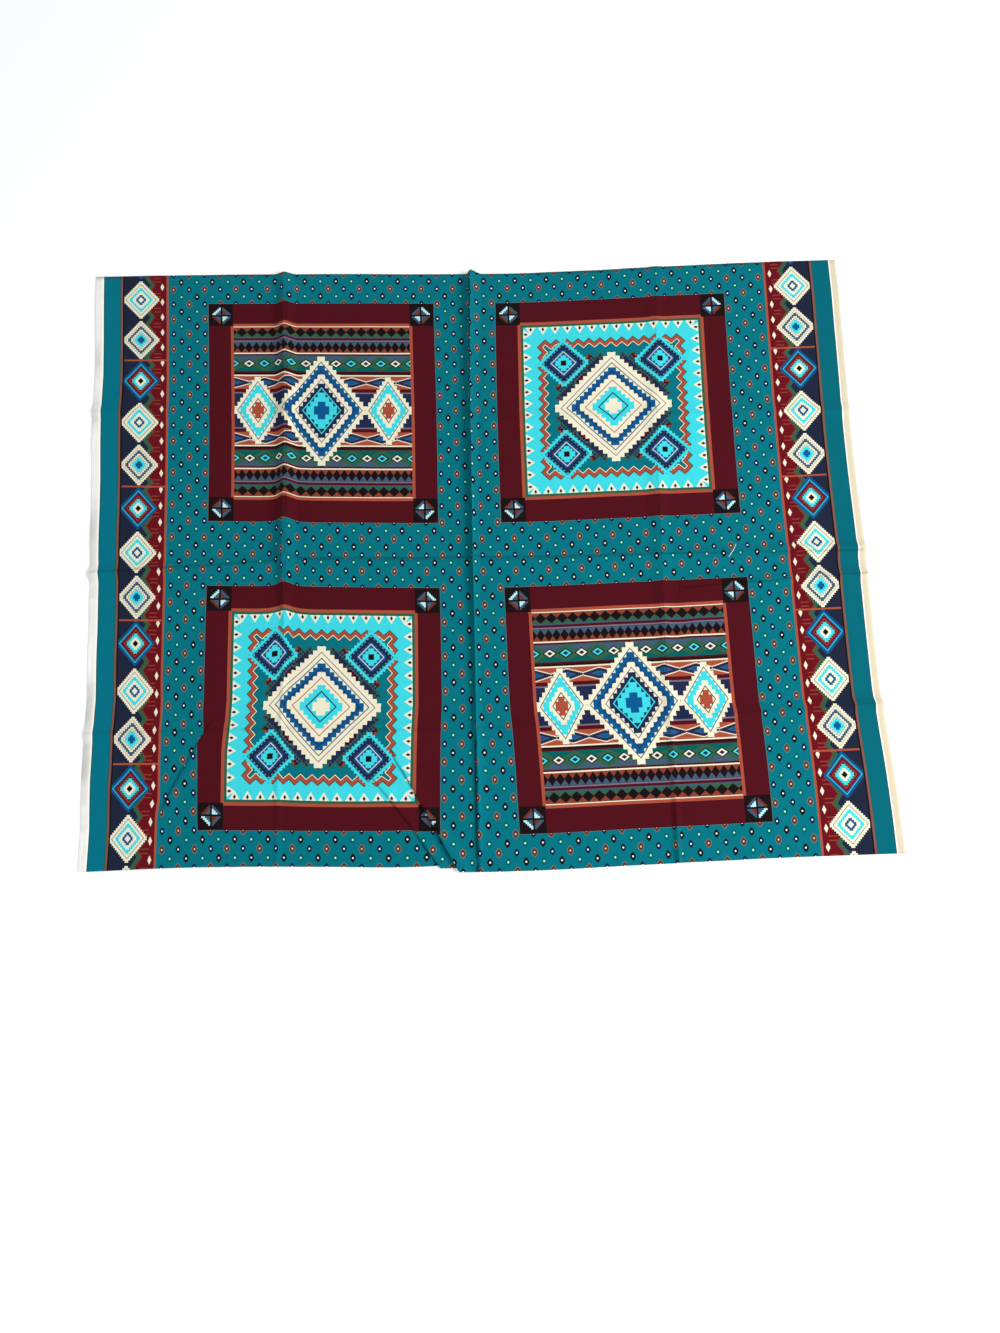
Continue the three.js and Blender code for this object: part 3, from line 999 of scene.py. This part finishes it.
def yarn_material(panel):
    """Bare cotton yarn, a little uneven along its length."""
    material, tree, shader = new_finish("cotton_yarn", Roughness=0.9, Sheen_Weight=0.1)
    place = add_node(tree, "ShaderNodeTexCoord")
    noise = add_node(tree, "ShaderNodeTexNoise", Vector=place.outputs["Object"], Scale=900.0, Detail=2.0)
    ramp = add_node(tree, "ShaderNodeValToRGB", Fac=noise.outputs[0])
    inks = ink_table(panel)
    ramp.color_ramp.elements[0].color = (*inks["cream"], 1)
    ramp.color_ramp.elements[1].color = (*inks["white"], 1)
    tree.links.new(ramp.outputs[0], shader.inputs["Base Color"])
    bump = add_node(tree, "ShaderNodeBump", Height=noise.outputs[0], Strength=0.4, Distance=0.0001)
    tree.links.new(bump.outputs[0], shader.inputs["Normal"])
    return material


def yarn_ends_tree(material):
    """Short frayed yarn ends along an edge, leaning at random within limits."""
    tree, start, end = new_group("Yarn Ends", (
        ("Spacing", "NodeSocketFloat", 0.0024), ("Length", "NodeSocketFloat", 0.0022),
        ("Yarn Thickness", "NodeSocketFloat", 0.00026), ("Seed", "NodeSocketInt", 7)))
    given = {s.name: s for s in start.outputs if s.name != "Geometry"}
    curve = add_node(tree, "GeometryNodeMeshToCurve", Mesh=start.outputs[0])
    spread = add_node(tree, "GeometryNodeResampleCurve", {"mode": "LENGTH"}, Curve=curve.outputs[0])
    tree.links.new(given["Spacing"], spread.inputs[3])
    tangent = add_node(tree, "GeometryNodeInputTangent")
    sideways = add_node(tree, "ShaderNodeVectorMath", {"operation": "CROSS_PRODUCT"},
                        Vector=tangent.outputs[0])
    sideways.inputs[1].default_value = (0, 0, 1)
    lean = add_node(tree, "FunctionNodeRandomValue", {"data_type": "FLOAT_VECTOR"}, Seed=given["Seed"])
    lean.inputs[0].default_value = (-0.5, -0.5, -0.02)
    lean.inputs[1].default_value = (0.5, 0.5, 0.1)
    way = add_node(tree, "ShaderNodeVectorMath", {"operation": "ADD"}, Vector=sideways.outputs[0])
    tree.links.new(lean.outputs[0], way.inputs[1])
    turn = add_node(tree, "FunctionNodeAlignRotationToVector", {"axis": "X"}, Vector=way.outputs[0])
    line = add_node(tree, "GeometryNodeCurvePrimitiveBezierSegment", {"mode": "POSITION"},
                    Resolution=4, Start=(-0.15, 0, 0), Start_Handle=(0.2, 0.05, 0),
                    End_Handle=(0.7, 0.25, 0), End=(1, 0.1, 0))
    scale = add_node(tree, "FunctionNodeRandomValue", {"data_type": "FLOAT"}, Seed=given["Seed"])
    tree.links.new(given["Length"], scale.inputs[3])
    feed(tree, scale.inputs[2], Field(tree, given["Length"]) * 0.3)
    placed = add_node(tree, "GeometryNodeInstanceOnPoints", Points=spread.outputs[0],
                      Instance=line.outputs[0], Rotation=turn.outputs[0], Scale=scale.outputs[1])
    solid = add_node(tree, "GeometryNodeRealizeInstances", Geometry=placed.outputs[0])
    ring = add_node(tree, "GeometryNodeCurvePrimitiveCircle", Resolution=5,
                    Radius=Field(tree, given["Yarn Thickness"]) * 0.5)
    tube = add_node(tree, "GeometryNodeCurveToMesh", Curve=solid.outputs[0],
                    Profile_Curve=ring.outputs[0], Fill_Caps=True)
    smooth = add_node(tree, "GeometryNodeSetShadeSmooth", Geometry=tube.outputs[0])
    whole = add_node(tree, "GeometryNodeRealizeInstances", Geometry=smooth.outputs[0])
    dressed = add_node(tree, "GeometryNodeSetMaterial", Geometry=whole.outputs[0], Material=material)
    tree.links.new(dressed.outputs[0], end.inputs[0])
    return tree


def line_object(name, points):
    """An object that holds one open line of points."""
    mesh = bpy.data.meshes.new(name)
    mesh.from_pydata([tuple(p) for p in points], [(i, i + 1) for i in range(len(points) - 1)], [])
    obj = bpy.data.objects.new(name, mesh)
    bpy.context.scene.collection.objects.link(obj)
    return obj


def cloth_places(obj):
    """Positions of the cloth's printed face with their places on the flat print."""
    mesh = obj.data
    at = np.empty(len(mesh.vertices) * 3)
    mesh.vertices.foreach_get("co", at)
    flat = np.empty_like(at)
    mesh.attributes["print_place"].data.foreach_get("vector", flat)
    at, flat = at.reshape(-1, 3), flat.reshape(-1, 3)
    face = flat[:, 2] > 0
    return at[face], flat[face]


def on_cloth(at, flat, spot):
    """Where a point of the flat print lies on the face of the laid cloth."""
    columns, rows = np.unique(flat[:, 0]), np.unique(flat[:, 1])
    grid = at[np.lexsort((flat[:, 0], flat[:, 1]))].reshape(len(rows), len(columns), 3)
    right = np.searchsorted(columns, spot[0])
    pair = [[np.interp(spot[1], rows, grid[:, i, k]) for k in range(3)] for i in (right - 1, right)]
    part = (spot[0] - columns[right - 1]) / (columns[right] - columns[right - 1])
    return np.array(pair[0]) * (1 - part) + np.array(pair[1]) * part


class FABRIC_OT_lay_panel(bpy.types.Operator):
    """Lay the printed cotton panel with its storage folds"""

    bl_idname = "fabric.lay_panel"
    bl_label = "Lay Printed Panel"

    def execute(self, context):
        sizes = context.scene.fabric_panel
        panel = bpy.data.objects.new("printed_cloth", flat_cloth(sizes))
        context.scene.collection.objects.link(panel)
        tree = laid_cloth_tree(cloth_materials(sizes))
        run_tree(panel, tree, {
            "Fold Height": sizes.fold_height, "Cloth Thickness": sizes.thickness,
            "Unevenness": sizes.unevenness, "Seed": float(sizes.seed)})
        return {"FINISHED"}


class FABRIC_OT_fray_edges(bpy.types.Operator):
    """Add the short yarn ends along the two cut edges"""

    bl_idname = "fabric.fray_edges"
    bl_label = "Fray Cut Edges"

    def execute(self, context):
        sizes = context.scene.fabric_panel
        at, flat = cloth_places(bpy.data.objects["printed_cloth"])
        tree = yarn_ends_tree(yarn_material(sizes))
        half = sizes.cut_length / MM / 2
        for n, (name, edge) in enumerate((("yarn_ends_low", -half), ("yarn_ends_top", half))):
            row = np.flatnonzero(np.abs(flat[:, 1] - edge) < 0.01)
            row = row[np.argsort(flat[row, 0] * (1 if edge < 0 else -1))]
            points = at[row] - (0, 0, sizes.thickness / 2)
            obj = line_object(name, points)
            run_tree(obj, tree, {"Spacing": sizes.yarn_spacing, "Length": sizes.yarn_length,
                                 "Yarn Thickness": sizes.yarn_thickness, "Seed": sizes.seed + n})
        return {"FINISHED"}


class FABRIC_OT_drop_thread(bpy.types.Operator):
    """Drop the loose thread that lies on the printed face"""

    bl_idname = "fabric.drop_thread"
    bl_label = "Drop Loose Thread"

    def execute(self, context):
        at, flat = cloth_places(bpy.data.objects["printed_cloth"])
        points = []
        for i in range(THREAD_STEPS + 1):
            t = i / THREAD_STEPS
            across = THREAD_START[0] + THREAD_RUN[0] * t + THREAD_SWING * math.sin(math.pi * t)
            up = THREAD_START[1] + THREAD_RUN[1] * t
            points.append(on_cloth(at, flat, (across, up)) + (0, 0, THREAD_LIFT))
        curve = bpy.data.curves.new("loose_thread", "CURVE")
        curve.dimensions = "3D"
        curve.bevel_depth = THREAD_RADIUS
        curve.bevel_resolution = 2
        spline = curve.splines.new("POLY")
        spline.points.add(len(points) - 1)
        for point, spot in zip(spline.points, points):
            point.co = (*spot, 1)
        obj = bpy.data.objects.new("loose_thread", curve)
        context.scene.collection.objects.link(obj)
        mesh = bpy.data.meshes.new_from_object(obj.evaluated_get(context.evaluated_depsgraph_get()))
        bpy.data.objects.remove(obj)
        thread = bpy.data.objects.new("loose_thread", mesh)
        mesh.materials.append(bpy.data.materials["cotton_yarn"])
        context.scene.collection.objects.link(thread)
        return {"FINISHED"}


def add_object(scene, name, data, place=(0, 0, 0)):
    obj = bpy.data.objects.new(name, data)
    obj.location = place
    scene.collection.objects.link(obj)
    return obj


def add_floor(scene):
    """Plain pale floor just under the cloth."""
    side = FLOOR_SIDE
    mesh = bpy.data.meshes.new("floor")
    mesh.from_pydata([(-side, -side, 0), (side, -side, 0), (side, side, 0), (-side, side, 0)], [],
                     [(0, 1, 2, 3)])
    pale, _, _ = new_finish("pale_floor", Base_Color=(FLOOR_PALE, FLOOR_PALE, FLOOR_PALE),
                            Roughness=0.9, Specular_IOR_Level=0.1)
    mesh.materials.append(pale)
    add_object(scene, "floor", mesh, (0, 0, -FLOOR_DROP))


def add_lights(scene):
    """The soft light of the room, and the lamps."""
    world = bpy.data.worlds.new("soft_room")
    world.use_nodes = True
    world.node_tree.nodes["Background"].inputs["Color"].default_value = ROOM_COLOUR
    world.node_tree.nodes["Background"].inputs["Strength"].default_value = ROOM_STRENGTH
    scene.world = world
    for name, place, size, power in LIGHTS:
        lamp = bpy.data.lights.new(name, "AREA")
        lamp.shape = "DISK"
        lamp.size = size
        lamp.energy = power
        light = add_object(scene, name, lamp, place)
        light.rotation_euler = (-light.location).to_track_quat("-Z", "Y").to_euler()


def add_camera(scene):
    """Camera in the place that the photo was taken from."""
    lens = bpy.data.cameras.new("camera")
    lens.sensor_width = SENSOR
    lens.lens = FOCAL_PIXELS * SENSOR / PHOTO_HEIGHT
    lens.clip_start, lens.clip_end = 0.01, 50
    camera = add_object(scene, "camera", lens, CAMERA_PLACE)
    camera.rotation_euler = (math.radians(CAMERA_TILT), 0, math.radians(CAMERA_TURN))
    scene.camera = camera


class FABRIC_OT_set_stage(bpy.types.Operator):
    """Set the pale floor, the soft lights and the camera"""

    bl_idname = "fabric.set_stage"
    bl_label = "Set Stage"

    def execute(self, context):
        add_floor(context.scene)
        add_lights(context.scene)
        add_camera(context.scene)
        context.scene.view_settings.view_transform = "Standard"
        return {"FINISHED"}


class FABRIC_PT_sidebar(bpy.types.Panel):
    """Lists the panel's sizes and the steps that make it"""

    bl_label = "Printed Fabric Panel"
    bl_idname = "FABRIC_PT_sidebar"
    bl_space_type = "VIEW_3D"
    bl_region_type = "UI"
    bl_category = "Fabric Panel"

    def draw(self, context):
        sizes = context.scene.fabric_panel
        for key in ("left_selvage", "right_selvage", "cut_length", "thickness", "fold_height",
                    "unevenness", "yarn_length", "yarn_spacing", "yarn_thickness", "seed"):
            self.layout.prop(sizes, key)
        for colour in sizes.colours:
            self.layout.prop(colour, "value", text=colour.name.title())
        for step in STEPS:
            self.layout.operator(step.bl_idname)


STEPS = (FABRIC_OT_set_stage, FABRIC_OT_lay_panel, FABRIC_OT_fray_edges, FABRIC_OT_drop_thread)
CLASSES = (FABRIC_PG_colour, FABRIC_PG_panel, *STEPS, FABRIC_PT_sidebar)


def register():
    for cls in CLASSES:
        bpy.utils.register_class(cls)
    bpy.types.Scene.fabric_panel = PointerProperty(type=FABRIC_PG_panel)


def unregister():
    del bpy.types.Scene.fabric_panel
    for cls in reversed(CLASSES):
        bpy.utils.unregister_class(cls)


def main():
    register()
    sizes = bpy.context.scene.fabric_panel
    for name, value in COLOURS.items():
        colour = sizes.colours.add()
        colour.name = name
        colour.value = linear(value)
    for step in STEPS:
        group, name = step.bl_idname.split(".")
        getattr(getattr(bpy.ops, group), name)()
    objects = bpy.data.objects
    panel = objects["printed_cloth"]
    extras = [objects["yarn_ends_low"], objects["yarn_ends_top"], objects["loose_thread"]]
    for piece in (panel, *extras):
        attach(piece, "root")
    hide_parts("printed_panel")


if __name__ == "__main__":
    main()
